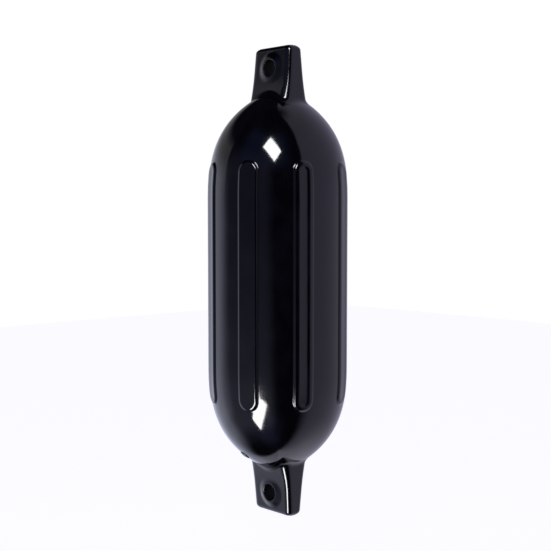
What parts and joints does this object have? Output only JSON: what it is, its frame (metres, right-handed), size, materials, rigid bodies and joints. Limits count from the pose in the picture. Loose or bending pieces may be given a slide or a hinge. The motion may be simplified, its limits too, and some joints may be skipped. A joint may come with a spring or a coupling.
{
  "type": "pneumatic boat fender",
  "caption": "Inflatable boat fender: a moulded vinyl barrel with domed ends and long raised ribs, a rope eye at each end and a rubber inflation valve in one dome.",
  "frame": {"origin": "the fender's middle, on the axis of its body, halfway between the tips of the eyes", "axes": "+Z along the fender towards the upper eye, +Y along the rope holes, +X across the eyes"},
  "size_m": [0.165, 0.165, 0.554],
  "materials": {
    "vinyl": "glossy navy-black soft vinyl, rotationally moulded",
    "valve_rubber": "matt black moulded rubber"
  },
  "bodies": {
    "root": {"fender_shell": "vinyl", "valve_plug": "valve_rubber"}
  },
  "joints": []
}
